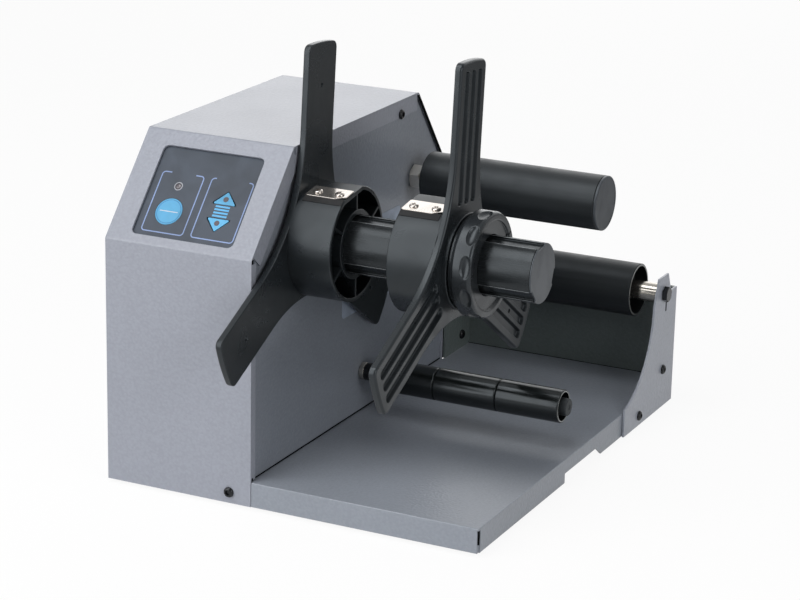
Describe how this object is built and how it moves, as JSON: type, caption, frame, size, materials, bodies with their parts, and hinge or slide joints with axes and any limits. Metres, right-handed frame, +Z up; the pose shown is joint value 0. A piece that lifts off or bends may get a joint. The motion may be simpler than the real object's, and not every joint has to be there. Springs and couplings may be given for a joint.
{
  "type": "label rewinder",
  "caption": "Motor-driven bench label rewinder: sloped-panel drive housing, grooved spindle with clamped three-arm core flanges, web rollers and a folded tray",
  "frame": {"origin": "centre of the overall box in X and Y, on the plane that the rubber feet stand on", "axes": "+Z up, +Y from the front (sloped panel) to the rear, +X from the drive housing to the open work side, along the spindle"},
  "size_m": [0.2758, 0.383, 0.2951],
  "materials": {
    "cover_paint": "light grey baked enamel with a fine satin texture",
    "side_paint": "grey baked enamel, satin",
    "tray_paint": "dark grey speckled enamel",
    "wall_paint": "dark grey enamel, satin",
    "bracket_paint": "light grey enamel, satin",
    "foot_rubber": "black rubber",
    "panel_film": "dark grey printed film with a fine grain",
    "key_film": "light blue printed film",
    "led_lens": "tinted clear plastic",
    "board": "green circuit board",
    "nylon": "natural nylon",
    "flange_plastic": "black moulded plastic, fine matte grain",
    "nut_plastic": "black moulded plastic, satin",
    "grip_steel": "bright brushed steel",
    "spindle_black": "black anodised finish",
    "cap_plastic": "dark grey plastic",
    "roller_black": "glossy black",
    "bright_steel": "bright turned steel",
    "black_screw": "black oxide",
    "cap_rubber": "black rubber",
    "drive_metal": "turned aluminium",
    "plain_steel": "zinc-plated steel",
    "belt_rubber": "black rubber",
    "core_steel": "varnished laminations and winding tape",
    "black_plastic": "black plastic",
    "rocker_plastic": "black plastic, glossy"
  },
  "bodies": {
    "frame": {"cover": "cover_paint", "side_plate": "side_paint", "base_tray": "tray_paint", "rear_wall": "wall_paint", "side_bracket": "bracket_paint", "foot_front_left": "foot_rubber", "foot_front_right": "foot_rubber", "foot_rear_left": "foot_rubber", "foot_rear_right": "foot_rubber", "panel_overlay": "panel_film", "status_led": "led_lens", "keypad_board": "board", "control_board": "board", "board_carrier": "nylon", "top_roller_stud": "bright_steel", "top_roller_nut": "bright_steel", "top_roller_lock_nut": "bright_steel", "lower_roller_shaft": "bright_steel", "guide_shaft": "bright_steel", "guide_shaft_nut": "bright_steel", "outer_bearing": "bright_steel", "inner_bearing": "bright_steel", "lower_shaft_screw_left": "black_screw", "lower_shaft_screw_right": "black_screw", "guide_spacer": "black_screw", "guide_end_cap": "cap_rubber", "outer_bearing_housing": "drive_metal", "inner_bearing_housing": "drive_metal", "gearbox": "drive_metal", "motor_plate": "plain_steel", "motor_can": "plain_steel", "drive_belt": "belt_rubber", "transformer": "core_steel", "power_inlet": "black_plastic", "switch_body": "black_plastic"},
    "spindle": {"spindle_shaft": "bright_steel", "spindle_pulley": "drive_metal", "spindle_tube": "spindle_black", "spindle_cap": "cap_plastic", "inner_flange": "flange_plastic", "inner_grip_plate": "grip_steel"},
    "sliding_flange": {"outer_flange": "flange_plastic", "outer_grip_plate": "grip_steel"},
    "nut": {"clamp_nut": "nut_plastic"},
    "motor_output": {"output_shaft": "bright_steel", "motor_pulley": "drive_metal"},
    "top_roller": {"top_roller_tube": "roller_black", "top_roller_cap": "cap_plastic", "top_roller_bush_inner": "nylon", "top_roller_bush_outer": "nylon"},
    "lower_roller": {"lower_roller_tube": "roller_black", "lower_roller_bush_inner": "nylon", "lower_roller_bush_outer": "nylon"},
    "sleeve_1": {"guide_sleeve_1": "roller_black"},
    "sleeve_2": {"guide_sleeve_2": "roller_black"},
    "sleeve_3": {"guide_sleeve_3": "roller_black"},
    "start": {"start_key": "key_film"},
    "up": {"up_key": "key_film"},
    "down": {"down_key": "key_film"},
    "rocker": {"switch_rocker": "rocker_plastic"}
  },
  "joints": [
    {"name": "spindle_spin", "type": "hinge", "parent": "frame", "child": "spindle", "pos_m": [-0.00985, -0.06985, 0.1665], "axis": [1, 0, 0], "continuous": true},
    {"name": "flange_slide", "type": "slide", "parent": "spindle", "child": "sliding_flange", "axis": [1, 0, 0], "range_m": [-0.037, 0.03]},
    {"name": "nut_turn", "type": "hinge", "parent": "sliding_flange", "child": "nut", "pos_m": [0.09015, -0.06985, 0.1665], "axis": [1, 0, 0], "range_deg": [-90, 0]},
    {"name": "motor_spin", "type": "hinge", "parent": "frame", "child": "motor_output", "pos_m": [-0.05985, 0.00695, 0.0973], "axis": [1, 0, 0], "continuous": true},
    {"name": "top_roller_spin", "type": "hinge", "parent": "frame", "child": "top_roller", "pos_m": [0.04815, 0.09345, 0.1703], "axis": [1, 0, 0], "continuous": true},
    {"name": "lower_roller_spin", "type": "hinge", "parent": "frame", "child": "lower_roller", "pos_m": [0.04815, 0.16545, 0.0893], "axis": [1, 0, 0], "continuous": true},
    {"name": "sleeve_1_spin", "type": "hinge", "parent": "frame", "child": "sleeve_1", "pos_m": [0.00415, 0.01735, 0.0479], "axis": [1, 0, 0], "continuous": true},
    {"name": "sleeve_2_spin", "type": "hinge", "parent": "frame", "child": "sleeve_2", "pos_m": [0.05015, 0.01735, 0.0479], "axis": [1, 0, 0], "continuous": true},
    {"name": "sleeve_3_spin", "type": "hinge", "parent": "frame", "child": "sleeve_3", "pos_m": [0.09715, 0.01735, 0.0479], "axis": [1, 0, 0], "continuous": true},
    {"name": "start_press", "type": "slide", "parent": "frame", "child": "start", "axis": [0, 0.7451, -0.667], "range_m": [0, 0.0006], "stiffness_N_per_m": 3000, "springref_m": -0.0002},
    {"name": "up_press", "type": "slide", "parent": "frame", "child": "up", "axis": [0, 0.7451, -0.667], "range_m": [0, 0.0006], "stiffness_N_per_m": 3000, "springref_m": -0.0002},
    {"name": "down_press", "type": "slide", "parent": "frame", "child": "down", "axis": [0, 0.7451, -0.667], "range_m": [0, 0.0006], "stiffness_N_per_m": 3000, "springref_m": -0.0002},
    {"name": "rocker_tilt", "type": "hinge", "parent": "frame", "child": "rocker", "pos_m": [-0.06385, 0.14475, 0.0643], "axis": [1, 0, 0], "range_deg": [-16, 0]}
  ],
  "couplings": [
    {"joint": "motor_spin", "follows": "spindle_spin", "ratio": 2.1888}
  ]
}
